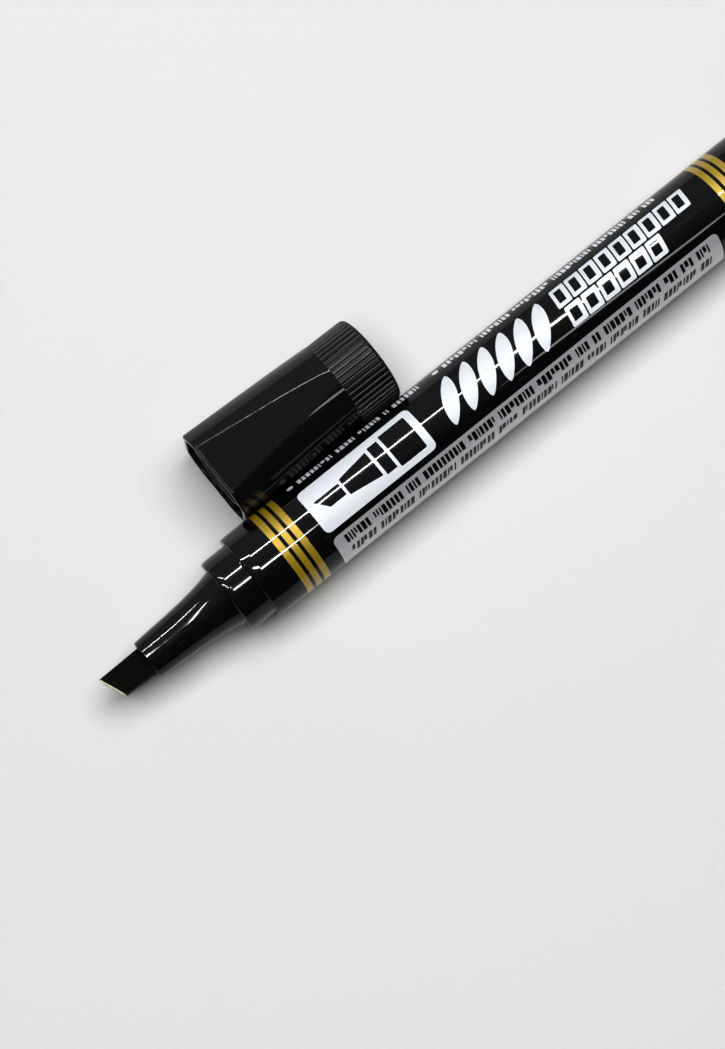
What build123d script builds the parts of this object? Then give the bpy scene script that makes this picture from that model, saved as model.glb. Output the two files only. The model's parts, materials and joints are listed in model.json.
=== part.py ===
from build123d import *
import os
from math import atan, degrees, radians, tan

# Chisel-tip permanent marker, uncapped, with its cap lying beside the barrel. Millimetres.
# Each piece is drawn about the X axis, with x = 0 at the barrel's front edge, the nib towards -X
# and the tail towards +X. marker_place() and cap_place() lay them on the floor, +Z up, the cap on
# the +Y side. The origin is then moved to the bottom centre of the whole object's box.

# Barrel. Its front end and the collar's are rounded by a gentle arc, then by a tight one, each
# given as (length, drop).
BARREL_R = 7.8
BARREL_LENGTH = 108.4
BARREL_BORE_R = 6.5
FRONT_EASE = (1.6, 0.06)
FRONT_EDGE = (0.3, 0.25)
REAR_ROUND = 0.5
RIB_COUNT = 6
RIB_WIDTH = 0.7
RIB_TIP_R = 6.3
RIB_ROOT_R = 7.0
RIB_START = 10.0
RIB_END = 97.0

# Nib holder: a spigot in the barrel, a collar, and a nozzle that flares towards the collar
SPIGOT_LENGTH = 9.0
COLLAR_R = 6.73
COLLAR_LENGTH = 4.8
COLLAR_EASE = (0.95, 0.10)
COLLAR_EDGE = (0.35, 0.30)
NOZZLE_BASE_R = 5.15
NOZZLE_TIP_R = 3.5
NOZZLE_TIP_X = -20.9
NOZZLE_WAIST = [(-13.0, 3.95), (-7.9, 4.5)]
TIP_EDGE = 0.3
TIP_RECESS_R = 3.05
TIP_RECESS_DEPTH = 0.5
HOLDER_CAVITY_R = 5.2
HOLDER_CAVITY_X = -2.0

# Chisel nib: a fibre rod of rectangular section, cut on the slant
NIB_WIDTH = 4.8
NIB_THICKNESS = 3.6
NIB_CORNER = 0.45
NIB_TIP_X = -28.8
NIB_TIP_WIDTH = 4.5
NIB_CUT_ANGLE = 21.4
NIB_REAR_X = 16.0

# Ink reservoir
CORE_R = 6.0
WRAP_R = 6.2
CORE_START = 9.2
CORE_END = 97.8

# Tail plug
TAIL_R = 7.2
TAIL_THICKNESS = 2.0
TAIL_ROUND = 0.8
TAIL_SPIGOT_LENGTH = 8.4
TAIL_CAVITY_R = 5.4
TAIL_WALL = 1.4

# Cap shell: a flared round body cut by four flat faces, and a fluted ring at the closed end
CAP_LENGTH = 32.7
FLUTED_LENGTH = 7.9
FLUTED_R = 7.87
FLUTE_COUNT = 52
FLUTE_R = 0.30
FLUTE_CENTRE_R = 7.95
CAP_END_ROUND = 0.8
CAP_MOUTH_R = 9.37
CAP_NECK_R = 8.01
CAP_FLARE = [(17.0, 8.38), (8.0, 8.85)]
FLAT_MOUTH = 8.08
FLAT_END = 7.88
CAP_WALL = 0.85
CAP_END_WALL = 2.6
SOCKET_R = 7.0
SOCKET_DEPTH = 4.0

# Inner cap: the sealing cup that closes round the nozzle and over the nib
INNER_RIM = 0.6
INNER_LIP = 0.3
INNER_MOUTH_R = 5.25
INNER_LAND = 2.0
INNER_THROAT = [(5.2, 4.75), (10.5, 4.3), (18.0, 3.9)]
INNER_FLOOR = 27.6
INNER_WALL = 0.7
INNER_BASE_R = 6.0

# The cap's place beside the barrel
CAP_MOUTH_X = 5.65
CAP_GAP = 0.1

CAP_BODY = CAP_LENGTH - FLUTED_LENGTH
CAP_TAPER = degrees(atan((FLAT_MOUTH - FLAT_END) / CAP_LENGTH))


def turned(*edges):
    """The solid that a closed outline in the (x, radius) plane makes about the X axis."""
    return revolve(Plane.XZ * make_face(edges), Axis.X)


def tube(x0, x1, outer, inner=0.0):
    """A straight tube or rod about X from x0 to x1."""
    corners = [(x0, inner), (x1, inner), (x1, outer), (x0, outer)]
    return turned(Polyline(*corners, close=True))


def eased_end(start, ease, edge):
    """A gentle arc and then a tight one, running on from a side parallel to X towards -X.

    ease and edge are the (length, drop) of the two arcs. Also gives the point where they end.
    """
    middle = (start[0] - ease[0], start[1] - ease[1])
    end = (middle[0] - edge[0], middle[1] - edge[1])
    gentle = TangentArc(start, middle, tangent=(-1, 0))
    tight = TangentArc(middle, end, tangent=gentle % 1)
    return gentle, tight, end


def flat_bar(x0, x1, width, thickness, corner):
    """A bar along X with a rounded rectangular section, its width along Y."""
    section = Plane.YZ.offset(x0) * RectangleRounded(width, thickness, corner)
    return extrude(section, x1 - x0)


def nib_bar(x0, x1):
    return flat_bar(x0, x1, NIB_WIDTH, NIB_THICKNESS, NIB_CORNER)


def make_barrel():
    """Tube with a rounded front shoulder and inner ribs that hold the reservoir off the wall."""
    shoulder = (FRONT_EASE[0] + FRONT_EDGE[0], BARREL_R)
    gentle, tight, front = eased_end(shoulder, FRONT_EASE, FRONT_EDGE)
    rear = (BARREL_LENGTH - REAR_ROUND, BARREL_R)
    rear_edge = (BARREL_LENGTH, BARREL_R - REAR_ROUND)
    barrel = turned(
        gentle,
        tight,
        Line(shoulder, rear),
        TangentArc(rear, rear_edge, tangent=(1, 0)),
        Polyline(rear_edge, (BARREL_LENGTH, BARREL_BORE_R), (0, BARREL_BORE_R), front),
    )
    rib = Pos((RIB_START + RIB_END) / 2, 0, (RIB_TIP_R + RIB_ROOT_R) / 2) * Box(
        RIB_END - RIB_START, RIB_WIDTH, RIB_ROOT_R - RIB_TIP_R
    )
    for index in range(RIB_COUNT):
        barrel += Rot(index * 360 / RIB_COUNT, 0, 0) * rib
    return barrel


def make_nib_holder():
    """Spigot, rounded collar and flared nozzle in one moulding, with a slot for the nib."""
    collar_shoulder = (COLLAR_EASE[0] + COLLAR_EDGE[0] - COLLAR_LENGTH, COLLAR_R)
    gentle, tight, collar_front = eased_end(collar_shoulder, COLLAR_EASE, COLLAR_EDGE)
    nozzle_base = (-COLLAR_LENGTH, NOZZLE_BASE_R)
    nozzle_edge = (NOZZLE_TIP_X + TIP_EDGE, NOZZLE_TIP_R)
    nozzle_face = (NOZZLE_TIP_X, NOZZLE_TIP_R - TIP_EDGE)
    holder = turned(
        Polyline(
            (NOZZLE_TIP_X, 0),
            (SPIGOT_LENGTH, 0),
            (SPIGOT_LENGTH, BARREL_BORE_R),
            (0, BARREL_BORE_R),
            (0, COLLAR_R),
            collar_shoulder,
        ),
        gentle,
        tight,
        Line(collar_front, nozzle_base),
        Spline(nozzle_base, *reversed(NOZZLE_WAIST), nozzle_edge),
        TangentArc(nozzle_edge, nozzle_face, tangent=(-1, 0)),
        Line(nozzle_face, (NOZZLE_TIP_X, 0)),
    )
    holder -= tube(HOLDER_CAVITY_X, SPIGOT_LENGTH, HOLDER_CAVITY_R)
    holder -= tube(NOZZLE_TIP_X, NOZZLE_TIP_X + TIP_RECESS_DEPTH, TIP_RECESS_R)
    return holder - nib_bar(NOZZLE_TIP_X, SPIGOT_LENGTH)


def make_nib():
    """Rounded rectangular rod, slightly narrower towards the writing edge, which is cut aslant."""
    shoulder_x = NOZZLE_TIP_X + TIP_RECESS_DEPTH
    heel_x = NIB_TIP_X + NIB_TIP_WIDTH * tan(radians(NIB_CUT_ANGLE))
    outline = Polyline(
        (NIB_TIP_X, NIB_TIP_WIDTH / 2),
        (heel_x, -NIB_TIP_WIDTH / 2),
        (shoulder_x, -NIB_WIDTH / 2),
        (NIB_REAR_X, -NIB_WIDTH / 2),
        (NIB_REAR_X, NIB_WIDTH / 2),
        (shoulder_x, NIB_WIDTH / 2),
        close=True,
    )
    plan = extrude(make_face(outline), NIB_THICKNESS / 2, both=True)
    return plan & nib_bar(NIB_TIP_X, NIB_REAR_X)


def make_reservoir_core():
    """Bonded fibre rod that holds the ink, with the rear of the nib pushed into its front end."""
    return tube(CORE_START, CORE_END, CORE_R) - nib_bar(CORE_START, NIB_REAR_X)


def make_reservoir_wrap():
    """Thin film sleeve round the fibre rod."""
    return tube(CORE_START, CORE_END, WRAP_R, CORE_R)


def make_tail_plug():
    """Rounded end disc with a hollow spigot that closes the barrel."""
    disc_start = (BARREL_LENGTH, TAIL_R)
    disc_side = (BARREL_LENGTH + TAIL_THICKNESS - TAIL_ROUND, TAIL_R)
    disc_face = (BARREL_LENGTH + TAIL_THICKNESS, TAIL_R - TAIL_ROUND)
    spigot_x = BARREL_LENGTH - TAIL_SPIGOT_LENGTH
    cavity_x = BARREL_LENGTH - TAIL_WALL
    return turned(
        Line(disc_start, disc_side),
        TangentArc(disc_side, disc_face, tangent=(1, 0)),
        Polyline(
            disc_face,
            (BARREL_LENGTH + TAIL_THICKNESS, 0),
            (cavity_x, 0),
            (cavity_x, TAIL_CAVITY_R),
            (spigot_x, TAIL_CAVITY_R),
            (spigot_x, BARREL_BORE_R),
            (BARREL_LENGTH, BARREL_BORE_R),
            disc_start,
        ),
    )


def four_flats(inset):
    """Square frustum along X whose four sides are the cap's flat faces, moved in by inset."""
    mouth = FLAT_MOUTH - inset
    end = FLAT_END - inset
    corners = [(0, mouth), (CAP_LENGTH, end), (CAP_LENGTH, -end), (0, -mouth)]
    taper = make_face(Polyline(*corners, close=True))
    upright = extrude(Plane.XY * taper, CAP_MOUTH_R, both=True)
    return upright & extrude(Plane.XZ * taper, CAP_MOUTH_R, both=True)


def flared(inset):
    """Round body from the mouth to the fluted ring, moved in by inset, as solid stock."""
    points = [(CAP_BODY, CAP_NECK_R), *CAP_FLARE, (0, CAP_MOUTH_R)]
    points = [(x, radius - inset) for x, radius in points]
    return turned(Spline(*points), Polyline(points[-1], (0, 0), (CAP_BODY, 0), points[0]))


def fluted_ring():
    """Closed end of the cap: a disc with a rounded outer edge and axial grooves round it."""
    side = (CAP_LENGTH - CAP_END_ROUND, FLUTED_R)
    face = (CAP_LENGTH, FLUTED_R - CAP_END_ROUND)
    disc = turned(
        Line((CAP_BODY, FLUTED_R), side),
        TangentArc(side, face, tangent=(1, 0)),
        Polyline(face, (CAP_LENGTH, 0), (CAP_BODY, 0), (CAP_BODY, FLUTED_R)),
    )
    groove = extrude(Circle(FLUTE_R), FLUTED_LENGTH)
    return disc - Plane.YZ.offset(CAP_BODY) * PolarLocations(FLUTE_CENTRE_R, FLUTE_COUNT) * groove


def make_cap_shell():
    """Thin-walled outer cap, open at the mouth, with a socket for the inner cap at its end."""
    outside = (flared(0) & four_flats(0)) + fluted_ring()
    hollow = flared(CAP_WALL) & four_flats(CAP_WALL)
    hollow += tube(CAP_BODY, CAP_LENGTH - CAP_END_WALL, SOCKET_R)
    shell = outside - hollow
    socket_start = CAP_LENGTH - CAP_END_WALL - SOCKET_DEPTH
    return shell + tube(socket_start, CAP_LENGTH - CAP_END_WALL, SOCKET_R, INNER_BASE_R)


def make_inner_cap():
    """Sealing cup inside the cap: a cylindrical land at its rim, then a narrowing throat."""
    rim_in = (INNER_RIM, INNER_MOUTH_R)
    land_end = (INNER_RIM + INNER_LAND, INNER_MOUTH_R)
    throat = [land_end, *INNER_THROAT]
    floor = (INNER_FLOOR, INNER_THROAT[-1][1])
    outer = [(x, radius + INNER_WALL) for x, radius in reversed(throat)]
    base_x = CAP_LENGTH - CAP_END_WALL
    flange_x = base_x - SOCKET_DEPTH
    return turned(
        Polyline(rim_in, *throat, floor, (INNER_FLOOR, 0), (base_x, 0), (base_x, INNER_BASE_R)),
        Polyline((base_x, INNER_BASE_R), (flange_x, INNER_BASE_R), (flange_x, outer[0][1]), *outer),
        Polyline(
            outer[-1],
            (INNER_RIM + INNER_LIP, INNER_MOUTH_R + INNER_WALL),
            (INNER_RIM, INNER_MOUTH_R + INNER_WALL - INNER_LIP),
            rim_in,
        ),
    )


def marker_place():
    """The marker lies with its barrel on the floor."""
    return Pos(0, 0, BARREL_R)


def cap_place():
    """The cap lies on one flat face, with the next one along the barrel, its mouth towards -X."""
    mouth = Pos(CAP_MOUTH_X, BARREL_R + CAP_GAP + FLAT_MOUTH, FLAT_MOUTH)
    return mouth * Rot(0, 0, -CAP_TAPER) * Rot(0, CAP_TAPER, 0)


def main():
    marker = {
        "barrel": make_barrel(),
        "nib_holder": make_nib_holder(),
        "chisel_nib": make_nib(),
        "reservoir_core": make_reservoir_core(),
        "reservoir_wrap": make_reservoir_wrap(),
        "tail_plug": make_tail_plug(),
    }
    cap = {"cap_shell": make_cap_shell(), "inner_cap": make_inner_cap()}
    placed = {name: marker_place() * shape for name, shape in marker.items()}
    placed |= {name: cap_place() * shape for name, shape in cap.items()}
    box = Compound(children=[Compound(shape.solids()) for shape in placed.values()]).bounding_box()
    centre = box.center()
    to_origin = Pos(-centre.X, -centre.Y, -box.min.Z)
    os.makedirs("parts", exist_ok=True)
    for name, shape in placed.items():
        export_step(to_origin * shape, f"parts/{name}.step")


main()
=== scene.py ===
import json
import random
from math import acos, atan, cos, pi, radians, sin, tan

import bmesh
import bpy
from mathutils import Matrix, Vector, noise


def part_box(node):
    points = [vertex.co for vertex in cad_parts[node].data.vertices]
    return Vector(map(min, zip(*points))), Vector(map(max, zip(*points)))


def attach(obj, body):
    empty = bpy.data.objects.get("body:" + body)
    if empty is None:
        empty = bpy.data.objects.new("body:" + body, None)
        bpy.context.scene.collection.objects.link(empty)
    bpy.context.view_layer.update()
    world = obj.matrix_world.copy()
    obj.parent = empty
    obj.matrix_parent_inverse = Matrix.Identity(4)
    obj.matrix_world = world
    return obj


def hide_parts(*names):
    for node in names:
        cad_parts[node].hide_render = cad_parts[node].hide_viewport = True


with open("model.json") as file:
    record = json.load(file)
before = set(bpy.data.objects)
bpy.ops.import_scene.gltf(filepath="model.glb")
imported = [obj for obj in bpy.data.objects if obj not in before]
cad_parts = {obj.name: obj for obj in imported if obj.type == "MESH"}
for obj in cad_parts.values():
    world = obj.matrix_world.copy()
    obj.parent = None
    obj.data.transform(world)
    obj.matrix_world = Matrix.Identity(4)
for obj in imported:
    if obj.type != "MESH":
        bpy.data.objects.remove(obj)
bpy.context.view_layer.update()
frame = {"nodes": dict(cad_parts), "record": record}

# A chisel-tip marker and its cap, lying side by side. The CAD pieces come from the frame; this
# script gives them their materials, the printed bands and panels, a felt nib, a fluted cap with
# softened edges, and the floor, lights and camera. Lengths named *_MM are in millimetres.

MM = 0.001
NODES = frame["nodes"]
MOUNTS = {mount["name"]: mount for mount in frame["record"]["mounts"]}

# The barrel's place
BARREL_LOW, BARREL_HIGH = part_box("barrel")
AXIS = (BARREL_LOW + BARREL_HIGH) / 2
BARREL_R = (BARREL_HIGH.z - BARREL_LOW.z) / 2
FRONT_X = BARREL_LOW.x

# Print on the barrel: distances behind its front edge, and angles round it from the top, with
# the side towards the cap positive
INK_MM = 0.014
BAND_MM = [(5.9, 7.08), (7.69, 8.78), (9.39, 10.58), (97.88, 99.03), (99.63, 100.69), (101.29, 102.45)]
PANEL_MM = (13.5, 36.2)
PANEL_TURN = (-25.2, 38.7)
PANEL_CORNER_MM = 1.0
STROKES_MM = (39.3, 64.8)
STROKES_TURN = (-19.0, 40.0)
BLOCKS_MM = (65.5, 94.5)
UPPER_BLOCKS_TURN = (11.6, 40.0)
LOWER_BLOCKS_TURN = (-16.5, 9.2)
SILVER_MM = (13.5, 93.9)
SILVER_TURN = (-97.0, -33.5)
NOTE_TURN = (54.0, 66.0)
LOWER_BLOCKS_LENGTH_MM = 21.0
TICK_MM = 0.55
TICK_GAP_MM = 0.26
BULLET_R_MM = 0.62
WRAP_STEP_MM = 0.4

# Chisel nib. The pale colour of its cut face, a painted highlight, fades out between the two depths of
# PALE_CUT_MM.
NIB_LOW, NIB_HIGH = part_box("chisel_nib")
NIB_CUT = radians(21.4)
NIB_TIP_WIDTH_MM = 4.5
NIB_SHOULDER_MM = -20.4
NIB_CORNER_MM = 0.45
NIB_CUT_EDGE_MM = 0.10
PALE_CUT_MM = (0.24, 0.12)

# Cap
CAP_LENGTH_MM = 32.7
CAP_BODY_MM = 24.8
CAP_BORE_DEPTH_MM = 1.6
CAP_ROUND_MM = [(0.0, 9.37), (8.0, 8.85), (17.0, 8.38), (24.8, 8.01)]
FLAT_MOUTH_MM = 8.08
FLAT_END_MM = 7.88
CAP_WALL_MM = 0.85
CAP_END_WALL_MM = 2.6
CAP_END_ROUND_MM = 0.8
SOCKET_MM = (7.0, 6.0, 4.0)
FLUTED_R_MM = 7.87
FLUTE_COUNT = 52
FLUTE_R_MM = 0.30
FLUTE_CENTRE_MM = 7.95
CREASE_MM = 0.12
RIM_ROUND_MM = 0.36


# ---------------------------------------------------------------- material nodes


def new_material(name, **sockets):
    """A Principled material. What is the same all over is set on the shader's own sockets."""
    made = bpy.data.materials.new(name)
    made.use_nodes = True
    shader = made.node_tree.nodes["Principled BSDF"]
    for socket, value in sockets.items():
        shader.inputs[socket.replace("_", " ")].default_value = value
    return made, made.node_tree, shader


def add_node(tree, kind, inputs, **settings):
    """A node with its settings, and its inputs set to a value or linked to another socket."""
    made = tree.nodes.new(kind)
    for name, value in settings.items():
        setattr(made, name, value)
    for socket, value in inputs.items():
        if isinstance(value, bpy.types.NodeSocket):
            tree.links.new(value, made.inputs[socket])
        else:
            made.inputs[socket].default_value = value
    return made


def object_points(tree, scale=(1, 1, 1)):
    """Points fixed to the piece, in metres, stretched by scale."""
    place = add_node(tree, "ShaderNodeTexCoord", {})
    mapping = {"Vector": place.outputs["Object"], "Scale": scale}
    return add_node(tree, "ShaderNodeMapping", mapping).outputs["Vector"]


def noise_value(tree, points, scale, detail=2.0, roughness=0.5):
    inputs = {"Vector": points, "Scale": scale, "Detail": detail, "Roughness": roughness}
    return add_node(tree, "ShaderNodeTexNoise", inputs).outputs["Fac"]


def spread(tree, value, low, high, to_low, to_high):
    """value between low and high, spread over to_low and to_high."""
    inputs = {"Value": value, "From Min": low, "From Max": high, "To Min": to_low, "To Max": to_high}
    return add_node(tree, "ShaderNodeMapRange", inputs, clamp=True).outputs["Result"]


def blended(tree, factor, first, second):
    """A colour between two colours."""
    inputs = {"Factor": factor, 6: first, 7: second}
    return add_node(tree, "ShaderNodeMix", inputs, data_type="RGBA").outputs[2]


def bumped(tree, height, distance, below=None):
    """A normal from a height, in metres, on top of another one."""
    inputs = {"Height": height, "Distance": distance, "Strength": 1.0}
    if below is not None:
        inputs["Normal"] = below
    return add_node(tree, "ShaderNodeBump", inputs).outputs["Normal"]


def finish_material(tree, shader, colour=None, rough=None, normal=None, coat_normal=None):
    for socket, value in (("Base Color", colour), ("Roughness", rough), ("Normal", normal)):
        if value is not None:
            tree.links.new(value, shader.inputs[socket])
    if coat_normal is not None:
        tree.links.new(coat_normal, shader.inputs["Coat Normal"])


# ---------------------------------------------------------------- materials


def moulded_black(name, tone, rough, wave=2.2e-6, scratch=0.4):
    """Glossy black plastic: faint flow marks, draw lines along the piece and sparse hairlines."""
    made, tree, shader = new_material(name, IOR=1.42)
    points = object_points(tree)
    flow = noise_value(tree, points, 120.0, 3.0)
    lines = noise_value(tree, object_points(tree, (0.05, 1.0, 1.0)), 2600.0, 2.0)
    hairs = noise_value(tree, object_points(tree, (0.2, 1.0, 0.7)), 2600.0, 0.0)
    hair = spread(tree, hairs, 0.80, 0.84, 0.0, 1.0)
    dark = tuple(0.75 * c for c in tone) + (1.0,)
    light = tuple(1.35 * c for c in tone) + (1.0,)
    colour = blended(tree, flow, dark, light)
    colour = blended(tree, spread(tree, hair, 0.0, 1.0, 0.0, scratch), colour, (0.04, 0.042, 0.046, 1.0))
    uneven = spread(tree, lines, 0.3, 0.7, rough * 0.7, rough * 1.4)
    swell = bumped(tree, noise_value(tree, object_points(tree, (1.0, 0.5, 0.5)), 420.0, 1.0), wave)
    scored = bumped(tree, hair, -0.6e-6 * scratch, bumped(tree, lines, 0.15e-6, swell))
    finish_material(tree, shader, colour, uneven, scored)
    return made


def printed(name, tone, metallic, rough, mottle=0.08):
    """Ink or foil under a clear varnish."""
    made, tree, shader = new_material(
        name, Metallic=metallic, Coat_Weight=0.9, Coat_Roughness=0.04, Coat_IOR=1.5
    )
    points = object_points(tree)
    cloud = noise_value(tree, points, 900.0, 4.0, 0.6)
    low = tuple((1 - mottle) * c for c in tone) + (1.0,)
    high = tuple(min(1.0, (1 + mottle) * c) for c in tone) + (1.0,)
    colour = blended(tree, cloud, low, high)
    speckle = noise_value(tree, points, 9000.0, 1.0)
    grain = spread(tree, speckle, 0.3, 0.7, rough * 0.8, rough * 1.25)
    normal = bumped(tree, speckle, 0.6e-6)
    swell = bumped(tree, noise_value(tree, object_points(tree, (1.0, 0.5, 0.5)), 420.0, 1.0), 2.2e-6)
    finish_material(tree, shader, colour, grain, normal, swell)
    return made


def felt_material():
    """Compressed fibre soaked in black ink, with a painted highlight as pale colour on its cut face and
    a little olive behind it.
    """
    made, tree, shader = new_material(
        "nib_felt", Specular_IOR_Level=0.08, Sheen_Weight=0.02, Sheen_Roughness=0.6
    )
    fibres = noise_value(tree, object_points(tree, (0.08, 1.0, 1.0)), 9000.0, 3.0, 0.7)
    clumps = noise_value(tree, object_points(tree, (0.35, 1.0, 1.0)), 1500.0, 3.0, 0.6)
    colour = blended(tree, fibres, (0.001, 0.001, 0.0012, 1.0), (0.005, 0.005, 0.005, 1.0))
    place = add_node(tree, "ShaderNodeSeparateXYZ", {"Vector": object_points(tree)})
    dry = spread(tree, place.outputs["X"], NIB_LOW.x, NIB_LOW.x + 5 * MM, 0.8, 0.0)
    patches = {0: dry, 1: spread(tree, clumps, 0.35, 0.65, 0.2, 1.0)}
    dry_patches = add_node(tree, "ShaderNodeMath", patches, operation="MULTIPLY").outputs[0]
    colour = blended(tree, dry_patches, colour, (0.006, 0.0064, 0.004, 1.0))
    towards_cut = Vector((-cos(NIB_CUT), -sin(NIB_CUT), 0.0))
    corner = Vector((NIB_LOW.x, AXIS.y + NIB_TIP_WIDTH_MM / 2 * MM, 0.0))
    inputs = {0: object_points(tree), 1: towards_cut}
    reach = add_node(tree, "ShaderNodeVectorMath", inputs, operation="DOT_PRODUCT").outputs["Value"]
    fade, full = (corner.dot(towards_cut) - depth * MM for depth in PALE_CUT_MM)
    # Painted highlight: pale colour over the cut face, fading out just behind it
    painted_cut_highlight = spread(tree, reach, fade, full, 0.0, 1.0)
    colour = blended(tree, painted_cut_highlight, colour, (0.90, 0.90, 0.64, 1.0))
    rough = spread(tree, clumps, 0.3, 0.7, 0.75, 0.95)
    normal = bumped(tree, clumps, 3.0e-5)
    normal = bumped(tree, fibres, 1.6e-5, normal)
    finish_material(tree, shader, colour, rough, normal)
    return made


def fibre_material():
    """Bonded fibre rod soaked in ink."""
    made, tree, shader = new_material("ink_fibre", Specular_IOR_Level=0.3)
    strands = noise_value(tree, object_points(tree, (0.05, 1.0, 1.0)), 5000.0, 3.0, 0.7)
    colour = blended(tree, strands, (0.012, 0.012, 0.016, 1.0), (0.060, 0.060, 0.070, 1.0))
    rough = spread(tree, strands, 0.3, 0.7, 0.6, 0.9)
    finish_material(tree, shader, colour, rough, bumped(tree, strands, 4e-5))
    return made


def film_material():
    """Thin clear film wrapped round the rod, with slight wrinkles."""
    made, tree, shader = new_material("clear_film", Transmission_Weight=0.85, IOR=1.45)
    folds = noise_value(tree, object_points(tree, (0.3, 1.0, 1.0)), 500.0, 3.0)
    colour = blended(tree, folds, (0.75, 0.78, 0.82, 1.0), (0.9, 0.92, 0.95, 1.0))
    rough = spread(tree, folds, 0.3, 0.7, 0.05, 0.2)
    finish_material(tree, shader, colour, rough, bumped(tree, folds, 3e-5))
    return made


def floor_material():
    """Smooth pale board."""
    made, tree, shader = new_material("pale_board", Specular_IOR_Level=0.15)
    cloud = noise_value(tree, object_points(tree), 3.0, 3.0)
    colour = blended(tree, cloud, (0.80, 0.80, 0.80, 1.0), (0.82, 0.82, 0.82, 1.0))
    grain = noise_value(tree, object_points(tree), 2500.0, 2.0)
    rough = spread(tree, grain, 0.3, 0.7, 0.6, 0.75)
    finish_material(tree, shader, colour, rough, bumped(tree, grain, 6e-6))
    return made


BARREL_BLACK = moulded_black("barrel_black", (0.004, 0.004, 0.005), 0.045)
HOLDER_BLACK = moulded_black("holder_black", (0.005, 0.005, 0.006), 0.07, wave=3e-6)
PLUG_BLACK = moulded_black("plug_black", (0.006, 0.006, 0.007), 0.10)
CAP_BLACK = moulded_black("cap_black", (0.006, 0.006, 0.008), 0.055, scratch=0.5)
FLUTE_BLACK = moulded_black("cap_flute_black", (0.004, 0.004, 0.005), 0.34, wave=1e-6, scratch=0.0)
LINER_BLACK = moulded_black("liner_black", (0.050, 0.050, 0.053), 0.20)
FELT = felt_material()
GOLD = printed("print_gold", (0.41, 0.285, 0.014), 0.28, 0.44)
WHITE = printed("print_white", (0.80, 0.83, 0.88), 0.0, 0.45, 0.04)
SILVER = printed("print_silver", (0.55, 0.56, 0.58), 0.30, 0.40)
BLACK_INK = moulded_black("print_black", (0.004, 0.004, 0.005), 0.06, scratch=0.0)


# ---------------------------------------------------------------- mesh helpers


def make_piece(name, bm, body, material, sharp=40.0):
    """A mesh piece that rides on a body, smooth but for edges sharper than the given angle."""
    bmesh.ops.recalc_face_normals(bm, faces=bm.faces)
    mesh = bpy.data.meshes.new(name)
    bm.to_mesh(mesh)
    bm.free()
    mesh.materials.append(material)
    mesh.shade_smooth()
    mesh.set_sharp_from_angle(angle=radians(sharp))
    piece = bpy.data.objects.new(name, mesh)
    bpy.context.scene.collection.objects.link(piece)
    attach(piece, body)
    return piece


def join_rings(bm, rings, closed=False):
    """Quads between rings of vertices that have the same count."""
    pairs = list(zip(rings, rings[1:]))
    if closed:
        pairs.append((rings[-1], rings[0]))
    for first, second in pairs:
        count = len(first)
        for i in range(count):
            j = (i + 1) % count
            bm.faces.new((first[i], first[j], second[j], second[i]))


# ---------------------------------------------------------------- print on the barrel


def on_barrel(along_mm, round_mm, height_mm):
    """A point on the barrel, from its distance behind the front edge and its arc from the top."""
    radius = BARREL_R + height_mm * MM
    turn = round_mm * MM / BARREL_R
    return Vector((FRONT_X + along_mm * MM, AXIS.y + radius * sin(turn), AXIS.z + radius * cos(turn)))


def arc_mm(degrees_round):
    return radians(degrees_round) * BARREL_R / MM


def rectangle(x0, x1, y0, y1, corner=0.0, slant=0.0):
    """A rectangle's outline with round corners, leaning by slant."""
    if corner == 0:
        points = [(x0, y0), (x1, y0), (x1, y1), (x0, y1)]
    else:
        points = []
        centres = [(x1 - corner, y1 - corner), (x0 + corner, y1 - corner)]
        centres += [(x0 + corner, y0 + corner), (x1 - corner, y0 + corner)]
        for quarter, (cx, cy) in enumerate(centres):
            for step in range(7):
                turn = (quarter + step / 6) * pi / 2
                points.append((cx + corner * cos(turn), cy + corner * sin(turn)))
    return [(x + slant * (y - y0), y) for x, y in points]


def print_piece(name, outlines, material, layer=0):
    """Flat outlines, filled, wrapped round the barrel and given the ink's thickness."""
    bm = bmesh.new()
    for outline in outlines:
        corners = [bm.verts.new((x, y, 0)) for x, y in outline]
        edges = [bm.edges.new((a, b)) for a, b in zip(corners, corners[1:] + corners[:1])]
        bmesh.ops.triangle_fill(bm, use_beauty=True, use_dissolve=False, edges=edges)
    low = min(v.co.y for v in bm.verts)
    high = max(v.co.y for v in bm.verts)
    for step in range(1, int((high - low) / WRAP_STEP_MM) + 1):
        geometry = list(bm.verts) + list(bm.edges) + list(bm.faces)
        cut = (0, low + step * WRAP_STEP_MM, 0)
        bmesh.ops.bisect_plane(bm, geom=geometry, plane_co=cut, plane_no=(0, 1, 0))
    base = layer * INK_MM
    lower = bmesh.ops.duplicate(bm, geom=list(bm.verts) + list(bm.edges) + list(bm.faces))
    lower_verts = {v for v in lower["geom"] if isinstance(v, bmesh.types.BMVert)}
    rims = [e for e in bm.edges if e.is_boundary and not (set(e.verts) & lower_verts)]
    twin = {v: lower["vert_map"][v] for v in bm.verts if v not in lower_verts}
    for edge in rims:
        a, b = edge.verts
        bm.faces.new((a, b, twin[b], twin[a]))
    for vert in bm.verts:
        height = base - INK_MM / 2 if vert in lower_verts else base + INK_MM
        vert.co = on_barrel(vert.co.x, vert.co.y, height)
    return make_piece(name, bm, "marker", material)


def gold_bands():
    """Three foil bands near each end of the barrel."""
    segments = 128
    for number, (start, end) in enumerate(BAND_MM):
        bm = bmesh.new()
        edge = 0.03
        profile = [(start, -INK_MM), (start, INK_MM / 2), (start + edge, INK_MM)]
        profile += [(end - edge, INK_MM), (end, INK_MM / 2), (end, -INK_MM)]
        rings = []
        for along, height in profile:
            turns = [2 * pi * BARREL_R / MM * i / segments for i in range(segments)]
            rings.append([bm.verts.new(on_barrel(along, turn, height)) for turn in turns])
        join_rings(bm, rings, closed=True)
        make_piece(f"gold_band_{number + 1}", bm, "marker", GOLD, sharp=8.0)


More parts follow.
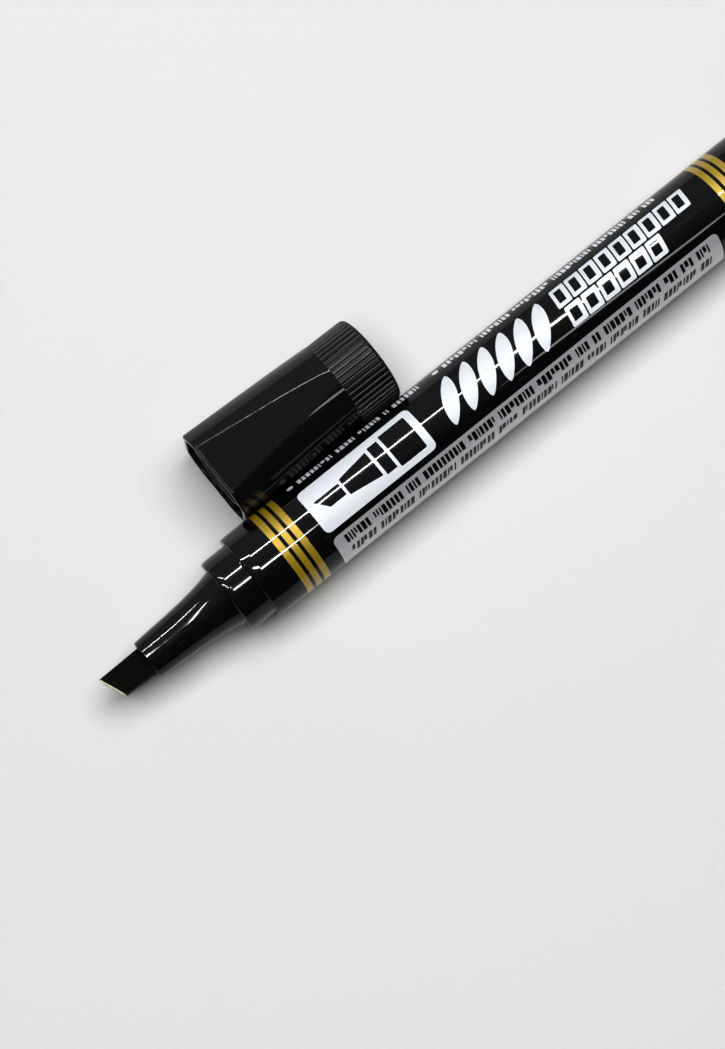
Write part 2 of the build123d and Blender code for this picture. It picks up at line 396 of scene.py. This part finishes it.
def white_panel():
    """A white panel with a pictogram of a chisel nib, its holder and a cap."""
    x0, x1 = PANEL_MM
    y0, y1 = (arc_mm(turn) for turn in PANEL_TURN)
    print_piece("nib_panel", [rectangle(x0, x1, y0, y1, PANEL_CORNER_MM)], WHITE)
    middle = (y0 + y1) / 2
    half = (y1 - y0) / 2
    nib = [(x0 + 1.4, middle + 0.26 * half), (x0 + 3.2, middle - 0.26 * half)]
    nib += [(x0 + 6.4, middle - 0.26 * half), (x0 + 6.4, middle + 0.26 * half)]
    holder = [(x0 + 6.9, middle - 0.36 * half), (x0 + 12.9, middle - 0.56 * half)]
    holder += [(x0 + 12.9, middle + 0.56 * half), (x0 + 6.9, middle + 0.36 * half)]
    collar = rectangle(x0 + 13.5, x0 + 15.5, middle - 0.64 * half, middle + 0.64 * half)
    body = rectangle(x0 + 16.1, x1 - 1.4, middle - 0.74 * half, middle + 0.74 * half, 0.3)
    outlines = [nib, holder, collar, body]
    print_piece("nib_pictogram", outlines, BLACK_INK, layer=1)


def brush_stroke(start, y0, y1, half_width, lean):
    """One leaning stroke of a broad nib, thin at both ends and swelling between them."""
    steps = 28
    left = []
    right = []
    for step in range(steps + 1):
        t = step / steps
        along = start + lean * t * (y1 - y0)
        half = 0.10 + half_width * sin(pi * t) ** 0.7
        left.append((along - half, y0 + t * (y1 - y0)))
        right.append((along + half, y0 + t * (y1 - y0)))
    return left + right[::-1]


def brush_strokes():
    """A row of leaning brush strokes."""
    x0, x1 = STROKES_MM
    y0, y1 = (arc_mm(turn) for turn in STROKES_TURN)
    lean = 0.45
    count = 6
    half_width = 1.45
    pitch = (x1 - x0 - lean * (y1 - y0) - 2 * half_width) / (count - 1)
    starts = [x0 + half_width + number * pitch for number in range(count)]
    strokes = [brush_stroke(start, y0, y1, half_width, lean) for start in starts]
    print_piece("brush_strokes", strokes, WHITE)


def outlined_blocks(count, x0, x1, turns):
    """A row of slanted blocks: (outer outlines, inner outlines)."""
    y0, y1 = (arc_mm(turn) for turn in turns)
    slant = 0.18
    width = (x1 - x0 - slant * (y1 - y0)) / count
    outer = []
    inner = []
    for number in range(count):
        left = x0 + number * width
        outer.append(rectangle(left, left + width - 0.28, y0, y1, 0.25, slant))
        inner.append(rectangle(left + 0.75, left + width - 1.0, y0 + 0.7, y1 - 0.7, 0.1, slant))
    return outer, inner


def printed_rows():
    """Two rows of outlined blocks, the lower one shorter."""
    start, end = BLOCKS_MM
    rows = [(9, end, UPPER_BLOCKS_TURN, "upper")]
    rows.append((6, start + LOWER_BLOCKS_LENGTH_MM, LOWER_BLOCKS_TURN, "lower"))
    for count, row_end, turns, name in rows:
        outer, inner = outlined_blocks(count, start, row_end, turns)
        print_piece(f"{name}_blocks", outer, WHITE)
        print_piece(f"{name}_block_centres", inner, BLACK_INK, layer=1)


def ticks(rng, x0, x1, y0, y1, width, word_gap, slant=0.0):
    """A run of small bars in groups of uneven length."""
    found = []
    along = x0
    while along < x1 - width:
        for _ in range(rng.randint(2, 11)):
            if along > x1 - width:
                break
            wide = width * rng.choice((0.55, 1.0, 1.0, 1.3))
            low = y0 if rng.random() < 0.8 else y0 + 0.35 * (y1 - y0)
            found.append(rectangle(along, along + wide, low, y1, 0.0, slant))
            along += wide + TICK_GAP_MM
        along += word_gap
    return found


def silver_panel():
    """A silver panel with two rows of fine dark bars."""
    x0, x1 = SILVER_MM
    y0, y1 = (arc_mm(turn) for turn in SILVER_TURN)
    print_piece("silver_panel", [rectangle(x0, x1, y0, y1, PANEL_CORNER_MM)], SILVER)
    rng = random.Random(7)
    rows = [(-51.5, -38.5, 0.0), (-72.0, -59.0, 0.25)]
    for number, (low, high, slant) in enumerate(rows):
        bars = ticks(rng, x0 + 2.0, x1 - 2.0, arc_mm(low), arc_mm(high), TICK_MM, 0.8, slant)
        print_piece(f"silver_panel_row_{number + 1}", bars, BLACK_INK, layer=1)


def note_row():
    """A row of small white bars in two runs, each after a round dot."""
    rng = random.Random(11)
    low, high = (arc_mm(turn) for turn in NOTE_TURN)
    bars = ticks(rng, 15.4, 41.0, low, high, TICK_MM, 0.7)
    bars += ticks(rng, 45.6, 91.0, low, high, TICK_MM, 0.7)
    middle = (low + high) / 2
    for bullet in (13.9, 44.0):
        bars.append([(bullet + x, middle + y) for x, y in circle(BULLET_R_MM, 18)])
    print_piece("note_row", bars, WHITE)


# ---------------------------------------------------------------- nib


def rounded_section(half_width, half_height, corner, per_side, per_corner):
    """Points round a rounded rectangle, anticlockwise, evenly along each side."""
    points = []
    sides = [(1, 1), (-1, 1), (-1, -1), (1, -1)]
    for quarter, (sx, sy) in enumerate(sides):
        cx, cy = sx * (half_width - corner), sy * (half_height - corner)
        for step in range(per_corner + 1):
            turn = (quarter + step / per_corner) * pi / 2
            points.append((cx + corner * cos(turn), cy + corner * sin(turn)))
        nx, ny = sides[(quarter + 1) % 4]
        ex, ey = nx * (half_width - corner), ny * (half_height - corner)
        turn = (quarter + 1) * pi / 2
        start, end = points[-1], (ex + corner * cos(turn), ey + corner * sin(turn))
        for step in range(1, per_side):
            t = step / per_side
            points.append((start[0] + t * (end[0] - start[0]), start[1] + t * (end[1] - start[1])))
    return points


def felt_nib():
    """The chisel nib, with fibres along its sides and a slightly worn cut face."""
    bm = bmesh.new()
    half_thick = (NIB_HIGH.z - NIB_LOW.z) / 2 / MM
    full = (NIB_HIGH.y - NIB_LOW.y) / 2 / MM
    tip = NIB_TIP_WIDTH_MM / 2
    tip_x = (NIB_LOW.x - FRONT_X) / MM
    rear_x = (NIB_HIGH.x - FRONT_X) / MM

    def place(x, y, z):
        return Vector((FRONT_X + x * MM, AXIS.y + y * MM, AXIS.z + z * MM))

    def cut(y):
        return tip_x + (tip - y) * tan(NIB_CUT)

    rings = []
    for shrink in (0.12, 0.3, 0.48, 0.66, 0.82, 0.94):
        section = rounded_section(tip * shrink, half_thick * shrink, NIB_CORNER_MM * shrink, 10, 4)
        rings.append([(cut(y), y, z) for y, z in section])
    edge = NIB_CUT_EDGE_MM
    section = rounded_section(tip - 0.3 * edge, half_thick - 0.3 * edge, NIB_CORNER_MM, 10, 4)
    rings.append([(cut(y) + 0.25 * edge, y, z) for y, z in section])
    steps = 44
    for step in range(steps + 1):
        t = step / steps
        half = tip + t * (full - tip)
        section = rounded_section(half, half_thick, NIB_CORNER_MM, 10, 4)
        rings.append([((1 - t) * (cut(y) + edge) + t * NIB_SHOULDER_MM, y, z) for y, z in section])
    section = rounded_section(full, half_thick, NIB_CORNER_MM, 10, 4)
    rings += [[(x, y, z) for y, z in section] for x in (NIB_SHOULDER_MM / 2, 0.0, rear_x)]
    made = []
    for ring in rings:
        verts = []
        for x, y, z in ring:
            fibre = noise.noise(Vector((x * 0.5, y * 7.0, z * 7.0)))
            clump = noise.noise(Vector((x * 0.9 + 5.0, y * 2.2, z * 2.2)))
            sink = 1.0 - 0.010 * max(0.0, 0.4 + fibre) - 0.006 * max(0.0, clump)
            pit = 0.0
            if x < cut(y) + edge:
                pit = 0.06 * max(0.0, noise.noise(Vector((3.0, y * 5.0, z * 5.0))))
            verts.append(bm.verts.new(place(x + pit, y * sink, z * sink)))
        made.append(verts)
    join_rings(bm, made)
    bm.faces.new(made[0])
    bm.faces.new(list(reversed(made[-1])))
    piece = make_piece("felt_nib", bm, "marker", FELT, sharp=60.0)
    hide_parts("chisel_nib")


# ---------------------------------------------------------------- cap


def cap_round(x):
    """Radius of the cap's round body at x mm from the mouth, a cubic through its four given radii."""
    total = 0.0
    for xi, radius in CAP_ROUND_MM:
        term = radius
        for xj, _ in CAP_ROUND_MM:
            if xj != xi:
                term *= (x - xj) / (xi - xj)
        total += term
    return total


def cap_flat(x):
    """Distance of the flat faces from the axis at x mm from the mouth."""
    return FLAT_MOUTH_MM + (FLAT_END_MM - FLAT_MOUTH_MM) * x / CAP_LENGTH_MM


def crease_point(bends, t):
    """A point (side, out) at t along the short curve that softens a crease."""
    weights = ((1 - t) ** 2, 2 * t * (1 - t), t * t)
    return tuple(sum(w * bend[axis] for w, bend in zip(weights, bends)) for axis in (0, 1))


def cap_section(x, inset):
    """Points round the cap at x: four flats and four arcs, with a softened crease between them."""
    flat_steps, arc_steps, crease_steps = 10, 12, 4
    radius = cap_round(x) - inset
    flat = cap_flat(x) - inset
    half = acos(min(1.0, flat / radius))
    soft = min(CREASE_MM / radius, 0.4 * half)
    points = []
    for quarter in range(4):
        middle = quarter * pi / 2
        start, end = half - soft, half + soft
        reach = flat * tan(start)
        for step in range(flat_steps):
            side = reach * (2 * step / flat_steps - 1)
            points.append((middle, flat, side))
        bends = [(reach, flat), (flat * tan(half), flat), (radius * sin(end), radius * cos(end))]
        for step in range(crease_steps):
            side, out = crease_point(bends, step / crease_steps)
            points.append((middle, out, side))
        for step in range(arc_steps):
            turn = end + (pi / 2 - 2 * end) * step / arc_steps
            points.append((middle, radius * cos(turn), radius * sin(turn)))
        for step in range(crease_steps):
            side, out = crease_point(bends, 1 - step / crease_steps)
            points.append((middle + pi / 2, out, -side))
    turned = []
    for turn, out, side in points:
        turned.append((out * cos(turn) - side * sin(turn), out * sin(turn) + side * cos(turn)))
    return turned


def fluted_circle(radius, depth):
    """Points round the fluted ring: each groove is an arc, with a narrow land between two."""
    clearance = FLUTE_CENTRE_MM - FLUTED_R_MM
    reach = acos(clearance / FLUTE_R_MM)
    arc_points = 8
    points = []
    for flute in range(FLUTE_COUNT):
        middle = 2 * pi * flute / FLUTE_COUNT
        for step in range(arc_points + 1):
            bend = reach * (2 * step / arc_points - 1)
            turn = middle + FLUTE_R_MM * sin(bend) / radius
            sunk = radius - depth * (FLUTE_R_MM * cos(bend) - clearance)
            points.append((sunk * cos(turn), sunk * sin(turn)))
        turn = middle + pi / FLUTE_COUNT
        points.append((radius * cos(turn), radius * sin(turn)))
    return points


def circle(radius, count):
    return [(radius * cos(2 * pi * i / count), radius * sin(2 * pi * i / count)) for i in range(count)]


def cap_outside(place):
    """Rings from the mouth's outer rim over the round body to the closed end."""
    rings = []
    for step in range(1, 9):
        turn = step / 8 * pi / 2
        x = RIM_ROUND_MM * (1 - cos(turn))
        rings.append([place(x, *p) for p in cap_section(x, RIM_ROUND_MM * (1 - sin(turn)))])
    stations = 44
    for step in range(1, stations + 1):
        x = RIM_ROUND_MM + (CAP_BODY_MM - 0.06 - RIM_ROUND_MM) * step / stations
        rings.append([place(x, *p) for p in cap_section(x, 0.0)])
    return rings


def cap_inside(place):
    """Rings from the mouth's end face down to the floor of the inner cap's socket."""
    edge = 0.12
    rings = [[place(0.0, *p) for p in cap_section(0.0, RIM_ROUND_MM)]]
    rings.append([place(0.0, *p) for p in cap_section(0.0, CAP_WALL_MM - edge)])
    stations = 16
    for step in range(stations + 1):
        x = edge + (CAP_BODY_MM - edge) * step / stations
        rings.append([place(x, *p) for p in cap_section(x, CAP_WALL_MM)])
    count = len(rings[0])
    wide, narrow, depth = SOCKET_MM
    floor = CAP_LENGTH_MM - CAP_END_WALL_MM
    socket = [(CAP_BODY_MM, wide), (floor - depth, wide), (floor - depth, narrow), (floor, narrow)]
    for x, radius in socket:
        rings.append([place(x, *p) for p in circle(radius, count)])
    return rings


def fluted_end(place):
    """Rings over the fluted ring and round the edge of the closed end."""
    straight_end = CAP_LENGTH_MM - CAP_END_ROUND_MM
    middle = (CAP_BODY_MM + straight_end) / 2
    stations = [(x, 0.0, 1.0) for x in (CAP_BODY_MM, middle, straight_end)]
    for step in range(1, 9):
        turn = step / 8 * pi / 2
        drop = CAP_END_ROUND_MM * (1 - cos(turn))
        stations.append((straight_end + CAP_END_ROUND_MM * sin(turn), drop, max(0.0, 1 - step / 6)))
    rings = []
    for x, drop, depth in stations:
        rings.append([place(x, *p) for p in fluted_circle(FLUTED_R_MM - drop, depth)])
    return rings


def edges_of(bm, ring):
    return [bm.edges.get((a, b)) or bm.edges.new((a, b)) for a, b in zip(ring, ring[1:] + ring[:1])]


def detailed_cap():
    """The cap's shell: soft creases between its flats and arcs, and a fluted ring at its end."""
    bore = MOUNTS["inner_cap_bore"]
    mouth = Vector(bore["pos_m"]) + Vector(bore["axis"]).normalized() * CAP_BORE_DEPTH_MM * MM
    taper = atan((FLAT_MOUTH_MM - FLAT_END_MM) / CAP_LENGTH_MM)
    turned = Matrix.Rotation(-taper, 4, "Z") @ Matrix.Rotation(taper, 4, "Y")
    where = Matrix.Translation(mouth) @ turned
    bm = bmesh.new()

    def place(x, y, z):
        return bm.verts.new(where @ Vector((x * MM, y * MM, z * MM)))

    outside = cap_outside(place)
    inside = cap_inside(place)
    fluted = fluted_end(place)
    join_rings(bm, list(reversed(inside)) + outside)
    join_rings(bm, fluted)
    bmesh.ops.bridge_loops(bm, edges=edges_of(bm, outside[-1]) + edges_of(bm, fluted[0]))
    bm.faces.new(inside[-1])
    bm.faces.new(fluted[-1])
    piece = make_piece("detailed_cap_shell", bm, "cap", CAP_BLACK, sharp=32.0)
    piece.data.materials.append(FLUTE_BLACK)
    to_cap = where.inverted()
    for face in piece.data.polygons:
        along = (to_cap @ face.center).x / MM
        if along > CAP_BODY_MM and (to_cap @ face.center).yz.length / MM > SOCKET_MM[0]:
            face.material_index = 1
    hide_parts("cap_shell")


# ---------------------------------------------------------------- the CAD pieces' materials


def dress_cad_nodes():
    """Materials for the CAD pieces, those that detailed pieces replace included."""
    dressed = {
        "barrel": BARREL_BLACK,
        "nib_holder": HOLDER_BLACK,
        "chisel_nib": FELT,
        "reservoir_core": fibre_material(),
        "reservoir_wrap": film_material(),
        "tail_plug": PLUG_BLACK,
        "cap_shell": CAP_BLACK,
        "inner_cap": LINER_BLACK,
    }
    for name, material in dressed.items():
        mesh = NODES[name].data
        mesh.materials.clear()
        mesh.materials.append(material)


# ---------------------------------------------------------------- floor, lights and camera


def make_floor():
    """A pale board far wider than the object."""
    half = 2.0
    bm = bmesh.new()
    corners = [(-half, -half), (half, -half), (half, half), (-half, half)]
    bm.faces.new([bm.verts.new((x, y, 0.0)) for x, y in corners])
    mesh = bpy.data.meshes.new("floor")
    bm.to_mesh(mesh)
    bm.free()
    mesh.materials.append(floor_material())
    floor = bpy.data.objects.new("floor", mesh)
    bpy.context.scene.collection.objects.link(floor)


def area_light(name, place, facing, along, size, power, kinds):
    """A rectangular light. Its long side runs along a direction; kinds are the rays that see it."""
    data = bpy.data.lights.new(name, "AREA")
    data.shape = "RECTANGLE"
    data.size, data.size_y = size
    data.energy = power
    light = bpy.data.objects.new(name, data)
    back = (Vector(place) - Vector(facing)).normalized()
    right = Vector(along) - back * back.dot(Vector(along))
    right.normalize()
    turn = Matrix((right, back.cross(right), back)).transposed()
    light.matrix_world = Matrix.Translation(place) @ turn.to_4x4()
    light.visible_glossy = "glossy" in kinds
    light.visible_diffuse = "diffuse" in kinds
    bpy.context.scene.collection.objects.link(light)


def make_lights():
    """Ceiling tubes whose reflections are the bright lines along the marker, and a soft panel."""
    height = 2.0
    along = Vector((0.58, -1.0, 0.0)).normalized()
    tubes = {
        "tube_over_cap": ((0.14, 1.25), (-1.5, 2.4), 0.040, 130.0),
        "tube_over_marker": ((0.117, -0.256), (-1.5, 0.10), 0.055, 70.0),
        "far_tube_over_marker": ((0.117, -0.256), (0.75, 1.6), 0.08, 9.0),
    }
    for name, ((x, y), (start, end), width, radiance) in tubes.items():
        middle = Vector((x, y, height)) + along * (start + end) / 2
        below = middle - Vector((0, 0, 1))
        size = (end - start, width)
        area_light(name, middle, below, along, size, radiance * pi * size[0] * size[1], {"glossy"})
    above, below = (0.07, 0.135, 1.0), (0.07, 0.135, 0)
    area_light("soft_panel", above, below, (1, 0, 0), (1.16, 0.74), 13.7, {"diffuse"})
    make_world((0.10, 0.72, 0.68), 0.03, 0.55)


def make_world(towards, dim, bright):
    """A dim studio that grows brighter towards one side, as from a large pale wall there."""
    world = bpy.data.worlds.new("studio")
    world.use_nodes = True
    tree = world.node_tree
    place = add_node(tree, "ShaderNodeTexCoord", {})
    towards = Vector(towards).normalized()
    inputs = {0: place.outputs["Generated"], 1: towards}
    facing = add_node(tree, "ShaderNodeVectorMath", inputs, operation="DOT_PRODUCT").outputs["Value"]
    share = spread(tree, facing, 0.2, 1.0, 0.0, 1.0)
    colour = blended(tree, share, (dim, dim, dim, 1.0), (bright, bright, bright * 1.04, 1.0))
    tree.links.new(colour, tree.nodes["Background"].inputs["Color"])
    bpy.context.scene.world = world
    world.cycles_visibility.diffuse = False


def make_camera():
    """The camera at the photograph's angle."""
    data = bpy.data.cameras.new("camera")
    data.lens = 79.53
    data.sensor_width = 36.0
    data.clip_start = 0.01
    camera = bpy.data.objects.new("camera", data)
    camera.location = (-0.06568, -0.05663, 0.37621)
    camera.rotation_euler = tuple(radians(turn) for turn in (9.5794, -1.0405, -39.3210))
    bpy.context.scene.collection.objects.link(camera)
    bpy.context.scene.camera = camera


dress_cad_nodes()
gold_bands()
white_panel()
brush_strokes()
printed_rows()
silver_panel()
note_row()
felt_nib()
detailed_cap()
make_floor()
make_lights()
make_camera()
bpy.context.scene.view_settings.view_transform = "Standard"
bpy.context.scene.view_settings.gamma = 0.8
